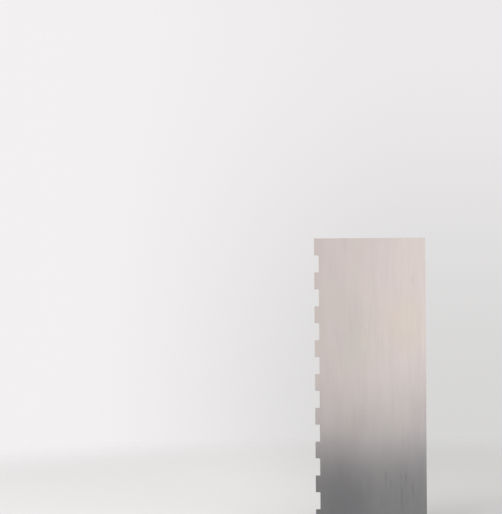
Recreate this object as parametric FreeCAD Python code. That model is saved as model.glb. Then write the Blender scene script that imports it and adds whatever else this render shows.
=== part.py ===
# Notched icing smoother: a flat comb cut from one sheet of brushed stainless steel.
#
# It is modelled upright, as it is held in use. The origin is the middle of the bottom edge,
# halfway through the sheet. +Z runs up the plate, -X points to the toothed edge, and the front
# face looks along -Y. All sizes are in millimetres.

import FreeCAD, Part
import os

# Sheet and plate
SHEET_THICKNESS = 1.0
PLATE_WIDTH = 98.4

# Toothed edge: a tooth at each end, with a square notch between every two teeth
TOOTH_COUNT = 9
TOOTH_HEIGHT = 15.0
NOTCH_HEIGHT = 15.0
NOTCH_DEPTH = 4.0

# Places worked out from the sizes above
NOTCH_COUNT = TOOTH_COUNT - 1
TOOTH_PITCH = TOOTH_HEIGHT + NOTCH_HEIGHT
PLATE_HEIGHT = TOOTH_COUNT * TOOTH_HEIGHT + NOTCH_COUNT * NOTCH_HEIGHT
PLAIN_EDGE_X = PLATE_WIDTH / 2
TOOTH_TIP_X = -PLATE_WIDTH / 2
NOTCH_FLOOR_X = TOOTH_TIP_X + NOTCH_DEPTH
FRONT_FACE_Y = -SHEET_THICKNESS / 2


def notch_corners(number):
    """The four corners of one notch, counted from 0, going up the toothed edge, as (x, z)."""
    low = TOOTH_HEIGHT + number * TOOTH_PITCH
    high = low + NOTCH_HEIGHT
    return [(TOOTH_TIP_X, low), (NOTCH_FLOOR_X, low), (NOTCH_FLOOR_X, high), (TOOTH_TIP_X, high)]


def outline_corners():
    """The corners of the whole plate: up the toothed edge, then down the plain edge, as (x, z)."""
    corners = [(TOOTH_TIP_X, 0)]
    for number in range(NOTCH_COUNT):
        corners += notch_corners(number)
    corners += [(TOOTH_TIP_X, PLATE_HEIGHT), (PLAIN_EDGE_X, PLATE_HEIGHT), (PLAIN_EDGE_X, 0)]
    return corners


def comb_plate():
    """The whole tool: the outline cut square through the sheet."""
    corners = [FreeCAD.Vector(x, FRONT_FACE_Y, z) for x, z in outline_corners()]
    blank = Part.Face(Part.makePolygon(corners + corners[:1]))
    return blank.extrude(FreeCAD.Vector(0, SHEET_THICKNESS, 0))


def main():
    os.makedirs("parts", exist_ok=True)
    plate = comb_plate()
    plate.exportStep("parts/comb_plate.step")
    size = plate.BoundBox
    print(f"comb_plate {size.XLength:.2f} x {size.YLength:.2f} x {size.ZLength:.2f} mm")
    print(f"volume {plate.Volume:.0f} mm3, faces {len(plate.Faces)}")


main()
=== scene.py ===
# Looks of the notched icing smoother: brushed stainless steel, standing on a pale studio floor.
#
# Lengths are in metres, in the part's own frame: +Z runs up the plate, -X points to the toothed
# edge, and the front face looks along -Y.

import math

import bmesh
import bpy
from mathutils import Euler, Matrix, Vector


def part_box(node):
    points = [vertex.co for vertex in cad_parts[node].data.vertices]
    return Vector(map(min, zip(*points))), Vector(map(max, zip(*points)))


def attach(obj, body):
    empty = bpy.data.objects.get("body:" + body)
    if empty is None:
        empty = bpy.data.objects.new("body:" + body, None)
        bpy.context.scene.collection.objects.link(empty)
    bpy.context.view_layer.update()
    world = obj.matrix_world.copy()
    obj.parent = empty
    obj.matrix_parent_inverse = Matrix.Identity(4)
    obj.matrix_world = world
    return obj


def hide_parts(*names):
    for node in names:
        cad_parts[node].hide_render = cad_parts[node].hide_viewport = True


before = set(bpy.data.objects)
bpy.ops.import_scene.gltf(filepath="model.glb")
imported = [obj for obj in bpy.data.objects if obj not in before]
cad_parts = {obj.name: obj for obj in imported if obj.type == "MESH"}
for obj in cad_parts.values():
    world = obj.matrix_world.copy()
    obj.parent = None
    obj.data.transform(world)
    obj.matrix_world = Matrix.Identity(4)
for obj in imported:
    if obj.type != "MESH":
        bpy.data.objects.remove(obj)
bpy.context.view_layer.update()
plate_low, plate_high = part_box("comb_plate")
PLATE_MIDDLE = (plate_low + plate_high) / 2
FRONT_FACE_Y = plate_low.y
HALF_SHEET = PLATE_MIDDLE.y - FRONT_FACE_Y

# Photograph: its size, the middle of the plate's bottom edge, the horizon, and the teeth's pitch
PHOTO_WIDTH_PX = 502
PHOTO_HEIGHT_PX = 514
PLATE_FOOT_PX = (371.75, 525.9)
HORIZON_PX = 238.6
TOOTH_PITCH_PX = 33.87

# The same pitch in metres: nine teeth and eight notches, all of one height, make up the plate
PITCHES_UP_PLATE = 8.5
TOOTH_PITCH = (plate_high.z - plate_low.z) / PITCHES_UP_PLATE

# Camera: a long lens, and how far the plate leans to the left in the photograph
LENS_MM = 135
SENSOR_MM = 36
PLATE_LEAN = math.radians(0.45)
QUARTER_TURN = math.radians(90)

# Rounding of the cut sheet: the corners of its outline, and the deburred rim along both faces
CORNER_RADIUS = 0.0005
CORNER_STEPS = 3
RIM_RADIUS = 0.00015
RIM_STEPS = 2
ROUND_PROFILE_SHARE = 0.5
WELD_GAP = 0.000001
FLAT_ANGLE = math.radians(1)

# A face is brushed if its normal points out of the sheet by more than this share
BRUSHED_FACE_SHARE = 0.5

# Steel: the colours of the grain's dark and light lines, and how stains tint them
STEEL_DARK = (0.598, 0.579, 0.572, 1)
STEEL_LIGHT = (0.642, 0.622, 0.612, 1)
STAIN_ROSY = (1.0, 0.985, 0.990, 1)
STAIN_STRAW = (1.0, 1.0, 0.975, 1)

# How the steel shines: on its brushed faces, with a swing from line to line, and on its cut edges.
# The one gives way to the other as the share by which a normal points out of the sheet falls.
FACE_ROUGHNESS = 0.151
ROUGHNESS_SWING = 0.015
EDGE_ROUGHNESS = 0.34
EDGE_SHARES = (0.7, 0.3)

# The grain spreads light across itself, along X. The direction is turned a little, so that it
# isn't exactly square to any cut edge.
GRAIN_STRETCH_SHARE = 0.9
ACROSS_GRAIN = {"X": 1, "Y": 0.02}

# Grain of the brushing: width across the plate, thickness through it, length up it
FINE_GRAIN = (0.0004, 0.0005, 0.030)
MIDDLE_GRAIN = (0.0022, 0.0010, 0.060)
BROAD_GRAIN = (0.0110, 0.0060, 0.035)
GRAIN_SHARES = (0.45, 0.15, 0.40)
SHINE_GRAIN = (0.0060, 0.0030, 0.080)
STAIN_SIZE = (0.030, 0.030, 0.045)

# Noise: the span that makes lines or stains, and the finer layers on its lumps
GRAIN_RANGE = (0.30, 0.70)
GRAIN_LAYERS = 2
STAIN_LAYERS = 1
SMOOTH_LAYERS = 0

# Height of the fine grain, and how a thin sheet strays from flat: slow waves, a bow and a twist.
# The unit of all these heights is one metre.
HEIGHT_UNIT = 1
GRAIN_HEIGHT = 0.000004
WAVE_SIZE = (0.045, 0.045, 0.060)
WAVE_HEIGHT = 0.0001
BOW_PER_METRE = 0.15
TWIST_PER_METRE = 0.018

# Soft patches on the front face: middle and reach, each across and up, then tint. The first is
# straw-coloured, the fourth is a painted reflection of green light, and the others are darker.
PATCHES = (
    ((0.029, 0.180), (0.034, 0.040), (1.0, 1.0, 0.94, 1)),
    ((-0.026, 0.020), (0.035, 0.055), (0.86, 0.865, 0.87, 1)),
    ((-0.018, 0.060), (0.024, 0.070), (0.94, 0.935, 0.945, 1)),
    # painted reflection: a green tint on the steel
    ((-0.015, 0.165), (0.024, 0.065), (0.945, 0.967, 0.945, 1)),
    ((0.047, 0.108), (0.027, 0.062), (0.925, 0.93, 0.935, 1)),
)

# Short scuffs along the brushing of the front face, most of them low on its right, painted as darker
# and lighter reflections: middle, reach and tint, as for the patches
# painted shade and painted glint: the tints that darken or lighten a scuff
DEEP_SCUFF_SHADE = (0.89, 0.89, 0.895, 1)
FAINT_SCUFF_SHADE = (0.935, 0.935, 0.94, 1)
BRIGHT_SCUFF_GLINT = (1.07, 1.07, 1.07, 1)
SCUFF_REFLECTIONS = (
    ((0.0380, 0.2170), (0.0018, 0.0045), FAINT_SCUFF_SHADE),
    ((-0.0029, 0.1776), (0.0018, 0.0035), BRIGHT_SCUFF_GLINT),
    ((-0.0285, 0.0489), (0.0018, 0.0055), FAINT_SCUFF_SHADE),
    ((-0.0068, 0.0360), (0.0036, 0.0090), BRIGHT_SCUFF_GLINT),
    ((0.0129, 0.0439), (0.0018, 0.0075), DEEP_SCUFF_SHADE),
    ((0.0152, 0.0370), (0.0016, 0.0070), BRIGHT_SCUFF_GLINT),
    ((0.0174, 0.0369), (0.0017, 0.0065), FAINT_SCUFF_SHADE),
    ((0.0269, 0.0428), (0.0017, 0.0050), DEEP_SCUFF_SHADE),
    ((0.0287, 0.0428), (0.0014, 0.0055), BRIGHT_SCUFF_GLINT),
    ((0.0305, 0.0425), (0.0019, 0.0060), DEEP_SCUFF_SHADE),
    ((0.0368, 0.0310), (0.0020, 0.0120), DEEP_SCUFF_SHADE),
    ((0.0271, 0.0305), (0.0023, 0.0070), FAINT_SCUFF_SHADE),
    ((0.0269, 0.0213), (0.0020, 0.0065), DEEP_SCUFF_SHADE),
    ((0.0316, 0.0216), (0.0017, 0.0045), FAINT_SCUFF_SHADE),
    ((0.0281, 0.0145), (0.0022, 0.0050), FAINT_SCUFF_SHADE),
    ((0.0090, 0.0196), (0.0024, 0.0065), FAINT_SCUFF_SHADE),
)

# Floor: pale, a little darker on the right in painted shade, and fading out into the backdrop
FLOOR_RADIUS = 1.0
FLOOR_SIDES = 96
FLOOR_FADE = (0.50, 0.80)
FLOOR_LEFT = (0.80, 0.795, 0.79, 1)
FLOOR_RIGHT_SHADED = (0.65, 0.645, 0.64, 1)
FLOOR_SHADE_SPAN = (-0.16, 0.08)
FLOOR_ROUGHNESS = 0.8

# Backdrop: lightest on the left of the photograph's view, and darkest low on its right
# painted shade and shadow: the backdrop darkens to the right, most of all low down
BACKDROP_LEFT = (0.90, 0.875, 0.885, 1)
BACKDROP_RIGHT_HIGH_SHADED = (0.84, 0.82, 0.83, 1)
BACKDROP_RIGHT_LOW_SHADED = (0.68, 0.675, 0.67, 1)
BACKDROP_SHARES_ACROSS = (-0.10, 0.09)
BACKDROP_SHARES_UP = (-0.10, 0.11)

# What the steel mirrors, by height: light above, greyer lower down, a dark strip, then a floor
MIRRORED_LIGHT = (1.108, 1.016, 1.000, 1)
MIRRORED_GREY = (0.730, 0.760, 0.780, 1)
MIRRORED_DARK = (0.288, 0.303, 0.317, 1)
GREY_SPAN = (math.radians(-6.95), math.radians(-4.00))
DARK_STRIP_TOP = (math.radians(-6.13), math.radians(-6.02))
DARK_STRIP_FOOT = (math.radians(-16.1), math.radians(-11.8))

# The mirrored floor: pale far off and dimmer near by, in bands
MIRRORED_FLOOR_FAR = (0.85, 0.85, 0.85, 1)
MIRRORED_FLOOR_NEAR = (0.35, 0.35, 0.35, 1)
MIRRORED_FLOOR_SPAN = (math.radians(-62.0), math.radians(-16.0))
FLOOR_BAND_PERIOD = math.radians(16)
FLOOR_BAND_SHARE = 0.35

# The mirrored light sways between dimmer and brighter bays from left to right
BAY_LEVEL_SHARE = 0.913
BAY_SWAY_SHARE = 0.37
BAY_START_SHARE = 0.038
BAY_PERIOD_SHARE = 0.6

# Soft light from all round, and lamps: place, side of the square lamp, power in watts
SOFT_LIGHT = (0.75, 0.75, 0.75, 1)
KEY_LAMP = (Vector((-0.9, -0.9, 1.4)), 1.0, 12)
FILL_LAMP = (Vector((1.2, -1.0, 0.9)), 1.2, 4)


def add(tree, kind, settings=None, **inputs):
    """A new node. Inputs are values, or sockets to link. An underscore in a name is a space."""
    made = tree.nodes.new(kind)
    for name, value in (settings or {}).items():
        setattr(made, name, value)
    for name, value in inputs.items():
        give(tree, made.inputs[name.replace("_", " ")], value)
    return made


def give(tree, socket, value):
    """Sets a socket to a value, or links it to another socket."""
    if isinstance(value, bpy.types.NodeSocket):
        tree.links.new(value, socket)
    else:
        socket.default_value = value


def maths(tree, operation, *values):
    """A Math node's result, from values or sockets."""
    made = tree.nodes.new("ShaderNodeMath")
    made.operation = operation
    for socket, value in zip(made.inputs, values):
        give(tree, socket, value)
    return made.outputs[0]


def length(tree, vector):
    """The length of a vector."""
    return add(tree, "ShaderNodeVectorMath", {"operation": "LENGTH"}, Vector=vector).outputs["Value"]


def sway(tree, value, period):
    """A wave between -1 and 1 that repeats after a period."""
    return maths(tree, "SINE", maths(tree, "MULTIPLY", value, math.tau / period))


def ramp(tree, value, low, high):
    """A smooth step from 0 at low to 1 at high."""
    smooth = {"interpolation_type": "SMOOTHSTEP"}
    made = add(tree, "ShaderNodeMapRange", smooth, Value=value, From_Min=low, From_Max=high)
    return made.outputs["Result"]


def mix(tree, share, first, second, blend="MIX"):
    """A colour between two others, or the first one blended with the second."""
    made = add(tree, "ShaderNodeMix", {"data_type": "RGBA", "blend_type": blend}, Factor=share)
    for socket, colour in zip((s for s in made.inputs if s.type == "RGBA"), (first, second)):
        give(tree, socket, colour)
    return next(s for s in made.outputs if s.type == "RGBA")


def mix_shaders(tree, share, first, second):
    """One shader over another, by a share."""
    made = add(tree, "ShaderNodeMixShader", Fac=share)
    tree.links.new(first.outputs[0], made.inputs[1])
    tree.links.new(second.outputs[0], made.inputs[2])
    return made


def measured(tree, place, size, middle=(0, 0, 0)):
    """A place as seen from a middle, in units of a size along x, y and z."""
    texture = {"vector_type": "TEXTURE"}
    made = add(tree, "ShaderNodeMapping", texture, Vector=place, Location=middle, Scale=size)
    return made.outputs["Vector"]


def noise(tree, place, size, layers):
    """Noise from 0 to 1, whose lumps have a size along x, y and z."""
    lumps = measured(tree, place, size)
    return add(tree, "ShaderNodeTexNoise", Vector=lumps, Scale=1, Detail=layers).outputs["Fac"]


def grain_lines(tree, place):
    """The brushing, from 0 where it is dark to 1 where it is light: fine, middle and broad lines."""
    lines = 0
    for size, share in zip((FINE_GRAIN, MIDDLE_GRAIN, BROAD_GRAIN), GRAIN_SHARES):
        line = ramp(tree, noise(tree, place, size, GRAIN_LAYERS), *GRAIN_RANGE)
        lines = maths(tree, "MULTIPLY_ADD", line, share, lines)
    return lines


def patch(tree, place, middle, reach):
    """A soft oval on the front face, from 1 in its middle to 0 at its rim. The back is left without it.
    """
    size = (reach[0], HALF_SHEET, reach[1])
    from_middle = measured(tree, place, size, (middle[0], FRONT_FACE_Y, middle[1]))
    return ramp(tree, length(tree, from_middle), 1, 0)


def steel_colour(tree, place):
    """Light and dark lines, faint stains all over, soft patches with one painted green reflection, and
    scuffs with painted shade and glints.
    """
    lines = mix(tree, grain_lines(tree, place), STEEL_DARK, STEEL_LIGHT)
    stain = ramp(tree, noise(tree, place, STAIN_SIZE, STAIN_LAYERS), *GRAIN_RANGE)
    colour = mix(tree, 1, lines, mix(tree, stain, STAIN_ROSY, STAIN_STRAW), "MULTIPLY")
    # some of these tints are painted reflection, shade and glints
    for middle, reach, tint in PATCHES + SCUFF_REFLECTIONS:
        colour = mix(tree, patch(tree, place, middle, reach), colour, tint, "MULTIPLY")
    return colour


def steel_roughness(tree, place):
    """Satin on the brushed faces, varying from line to line, and duller on the cut edges."""
    shine = ramp(tree, noise(tree, place, SHINE_GRAIN, GRAIN_LAYERS), *GRAIN_RANGE)
    face = maths(tree, "MULTIPLY_ADD", shine, ROUGHNESS_SWING, FACE_ROUGHNESS - ROUGHNESS_SWING / 2)
    normal = add(tree, "ShaderNodeNewGeometry").outputs["True Normal"]
    outward = maths(tree, "ABSOLUTE", add(tree, "ShaderNodeSeparateXYZ", Vector=normal).outputs["Y"])
    edge = ramp(tree, outward, *EDGE_SHARES)
    return maths(tree, "MULTIPLY_ADD", edge, EDGE_ROUGHNESS - FACE_ROUGHNESS, face)


def steel_height(tree, place):
    """How far the surface stands out, in metres: fine grain, slow waves, a bow and a twist."""
    axes = add(tree, "ShaderNodeSeparateXYZ", Vector=place)
    up = maths(tree, "SUBTRACT", axes.outputs["Z"], PLATE_MIDDLE.z)
    turned = maths(tree, "MULTIPLY", up, TWIST_PER_METRE)
    bowed = maths(tree, "MULTIPLY_ADD", axes.outputs["X"], -BOW_PER_METRE / 2, turned)
    bent = maths(tree, "MULTIPLY", bowed, axes.outputs["X"])
    waves = noise(tree, place, WAVE_SIZE, SMOOTH_LAYERS)
    slow = maths(tree, "MULTIPLY_ADD", waves, WAVE_HEIGHT, bent)
    return maths(tree, "MULTIPLY_ADD", noise(tree, place, FINE_GRAIN, GRAIN_LAYERS), GRAIN_HEIGHT, slow)


def brushed_steel():
    """Satin steel, brushed up the plate: vertical lines, and light spread across them."""
    material = bpy.data.materials.new("brushed_steel")
    material.use_nodes = True
    tree = material.node_tree
    shader = tree.nodes["Principled BSDF"]
    shader.inputs["Metallic"].default_value = 1
    shader.inputs["Anisotropic"].default_value = GRAIN_STRETCH_SHARE
    place = add(tree, "ShaderNodeTexCoord").outputs["Object"]
    tree.links.new(steel_colour(tree, place), shader.inputs["Base Color"])
    tree.links.new(steel_roughness(tree, place), shader.inputs["Roughness"])
    bump = add(tree, "ShaderNodeBump", Height=steel_height(tree, place), Distance=HEIGHT_UNIT)
    tree.links.new(bump.outputs["Normal"], shader.inputs["Normal"])
    across = add(tree, "ShaderNodeCombineXYZ", **ACROSS_GRAIN)
    tree.links.new(across.outputs["Vector"], shader.inputs["Tangent"])
    return material


def lies_through_sheet(edge):
    """True for an edge that runs straight through the sheet, at a corner of the outline."""
    along = edge.verts[0].co - edge.verts[1].co
    return abs(along.y) > WELD_GAP and abs(along.x) + abs(along.z) < WELD_GAP


def lies_on_rim(edge):
    """True for an edge between a brushed face and the cut edge of the sheet."""
    brushed = [abs(face.normal.y) > BRUSHED_FACE_SHARE for face in edge.link_faces]
    return brushed[0] != brushed[1]


def round_over(shape, chosen, radius, steps):
    """Rounds the chosen edges of a mesh."""
    edges = [edge for edge in shape.edges if chosen(edge)]
    bmesh.ops.bevel(
        shape, geom=edges, offset=radius, segments=steps, profile=ROUND_PROFILE_SHARE, affect="EDGES"
    )


def rounded_mesh(solid):
    """The square solid's mesh with its corners and rims rounded over."""
    shape = bmesh.new()
    shape.from_mesh(solid)
    bmesh.ops.remove_doubles(shape, verts=shape.verts, dist=WELD_GAP)
    bmesh.ops.dissolve_limit(shape, angle_limit=FLAT_ANGLE, verts=shape.verts, edges=shape.edges)
    round_over(shape, lies_through_sheet, CORNER_RADIUS, CORNER_STEPS)
    round_over(shape, lies_on_rim, RIM_RADIUS, RIM_STEPS)
    for face in shape.faces:
        face.smooth = True
    mesh = bpy.data.meshes.new("brushed_plate")
    shape.to_mesh(mesh)
    shape.free()
    return mesh


def make_plate(node):
    """The plate with rounded corners and rims, in place of the square solid."""
    mesh = rounded_mesh(node.data)
    mesh.materials.append(brushed_steel())
    plate = bpy.data.objects.new("brushed_plate", mesh)
    plate.modifiers.new("flat_faces", "WEIGHTED_NORMAL")
    bpy.context.scene.collection.objects.link(plate)
    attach(plate, "root")
    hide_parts("comb_plate")


def floor_material():
    """Matt and pale, with painted shade towards the right, and see-through towards the rim, so that the
    floor has no edge.
    """
    material = bpy.data.materials.new("floor")
    material.use_nodes = True
    tree = material.node_tree
    shader = tree.nodes["Principled BSDF"]
    shader.inputs["Roughness"].default_value = FLOOR_ROUGHNESS
    place = add(tree, "ShaderNodeTexCoord").outputs["Object"]
    across = add(tree, "ShaderNodeSeparateXYZ", Vector=place).outputs["X"]
    # painted shade: the floor darkens towards the right
    colour = mix(tree, ramp(tree, across, *FLOOR_SHADE_SPAN), FLOOR_LEFT, FLOOR_RIGHT_SHADED)
    tree.links.new(colour, shader.inputs["Base Color"])
    faded = ramp(tree, length(tree, place), *FLOOR_FADE)
    clear = add(tree, "ShaderNodeBsdfTransparent")
    surface = mix_shaders(tree, faded, shader, clear)
    tree.links.new(surface.outputs[0], tree.nodes["Material Output"].inputs["Surface"])
    return material


def make_floor():
    """A round floor under the plate. The steel mirrors the floor in mirrored_floor instead."""
    bpy.ops.mesh.primitive_circle_add(vertices=FLOOR_SIDES, radius=FLOOR_RADIUS, fill_type="NGON")
    floor = bpy.context.object
    floor.name = "floor"
    floor.visible_glossy = False
    floor.data.materials.append(floor_material())


def make_lamp(name, place, side, power):
    """A square soft lamp that faces the plate."""
    data = bpy.data.lights.new(name, "AREA")
    data.size = side
    data.energy = power
    lamp = bpy.data.objects.new(name, data)
    lamp.location = place
    lamp.rotation_mode = "QUATERNION"
    lamp.rotation_quaternion = (PLATE_MIDDLE - place).to_track_quat("-Z", "Y")
    lamp.visible_camera = False
    bpy.context.scene.collection.objects.link(lamp)


def backdrop_colour(tree, axes):
    """The backdrop by direction, as the camera sees it, with painted shade on its right."""
    up = ramp(tree, axes.outputs["Z"], *BACKDROP_SHARES_UP)
    # painted shade: darker on the right, most of all low down
    right = mix(tree, up, BACKDROP_RIGHT_LOW_SHADED, BACKDROP_RIGHT_HIGH_SHADED)
    return mix(tree, ramp(tree, axes.outputs["X"], *BACKDROP_SHARES_ACROSS), BACKDROP_LEFT, right)


def mirrored_floor(tree, height):
    """The floor that the steel mirrors, by the height of the direction."""
    plain = mix(tree, ramp(tree, height, *MIRRORED_FLOOR_SPAN), MIRRORED_FLOOR_NEAR, MIRRORED_FLOOR_FAR)
    bands = maths(tree, "MULTIPLY_ADD", sway(tree, height, FLOOR_BAND_PERIOD), FLOOR_BAND_SHARE, 1)
    return mix(tree, 1, plain, bands, "MULTIPLY")


def mirrored_colour(tree, axes):
    """What the steel mirrors, by direction: zones by height, and bays from left to right."""
    height = maths(tree, "ARCSINE", axes.outputs["Z"])
    low = mix(tree, ramp(tree, height, *DARK_STRIP_TOP), MIRRORED_DARK, MIRRORED_GREY)
    above = mix(tree, ramp(tree, height, *GREY_SPAN), low, MIRRORED_LIGHT)
    whole = mix(tree, ramp(tree, height, *DARK_STRIP_FOOT), mirrored_floor(tree, height), above)
    across = maths(tree, "SUBTRACT", axes.outputs["X"], BAY_START_SHARE)
    swung = sway(tree, across, BAY_PERIOD_SHARE)
    bays = maths(tree, "MULTIPLY_ADD", swung, BAY_SWAY_SHARE, BAY_LEVEL_SHARE)
    return mix(tree, 1, whole, bays, "MULTIPLY")


def make_world():
    """A plain backdrop for the camera, a studio for the steel to mirror, and soft light for the rest."""
    world = bpy.data.worlds.new("studio")
    bpy.context.scene.world = world
    world.use_nodes = True
    tree = world.node_tree
    tree.nodes.clear()
    path = add(tree, "ShaderNodeLightPath")
    way = add(tree, "ShaderNodeTexCoord").outputs["Generated"]
    axes = add(tree, "ShaderNodeSeparateXYZ", Vector=way)
    backdrop = add(tree, "ShaderNodeBackground", Color=backdrop_colour(tree, axes))
    mirrored = add(tree, "ShaderNodeBackground", Color=mirrored_colour(tree, axes))
    soft = add(tree, "ShaderNodeBackground", Color=SOFT_LIGHT)
    unseen = mix_shaders(tree, path.outputs["Is Glossy Ray"], soft, mirrored)
    seen = mix_shaders(tree, path.outputs["Is Camera Ray"], unseen, backdrop)
    add(tree, "ShaderNodeOutputWorld", Surface=seen.outputs[0])


def foot_from_middle_px():
    """How far right of and below the photograph's middle the plate's foot is, with its lean undone."""
    across = PLATE_FOOT_PX[0] - PHOTO_WIDTH_PX / 2
    down = PLATE_FOOT_PX[1] - PHOTO_HEIGHT_PX / 2
    right = across * math.cos(PLATE_LEAN) - down * math.sin(PLATE_LEAN)
    below = down * math.cos(PLATE_LEAN) + across * math.sin(PLATE_LEAN)
    return right, below


def make_camera():
    """The photograph's view: level with the top of the plate, which stands low and to the right."""
    metres_per_px = TOOTH_PITCH / TOOTH_PITCH_PX
    focal_px = LENS_MM / SENSOR_MM * PHOTO_HEIGHT_PX
    horizon_up_px = PHOTO_HEIGHT_PX / 2 - HORIZON_PX
    right_px, below_px = foot_from_middle_px()
    data = bpy.data.cameras.new("camera")
    data.lens = LENS_MM
    data.sensor_width = SENSOR_MM
    camera = bpy.data.objects.new("camera", data)
    camera.location = Vector((-right_px, -focal_px, below_px + horizon_up_px)) * metres_per_px
    tilt = Euler((QUARTER_TURN - math.atan(horizon_up_px / focal_px), 0, 0))
    lean = Euler((0, 0, -PLATE_LEAN))
    camera.rotation_mode = "QUATERNION"
    camera.rotation_quaternion = tilt.to_quaternion() @ lean.to_quaternion()
    bpy.context.scene.collection.objects.link(camera)
    bpy.context.scene.camera = camera


make_plate(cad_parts["comb_plate"])
make_floor()
make_lamp("key", *KEY_LAMP)
make_lamp("fill", *FILL_LAMP)
make_world()
make_camera()
bpy.context.scene.view_settings.view_transform = "Standard"
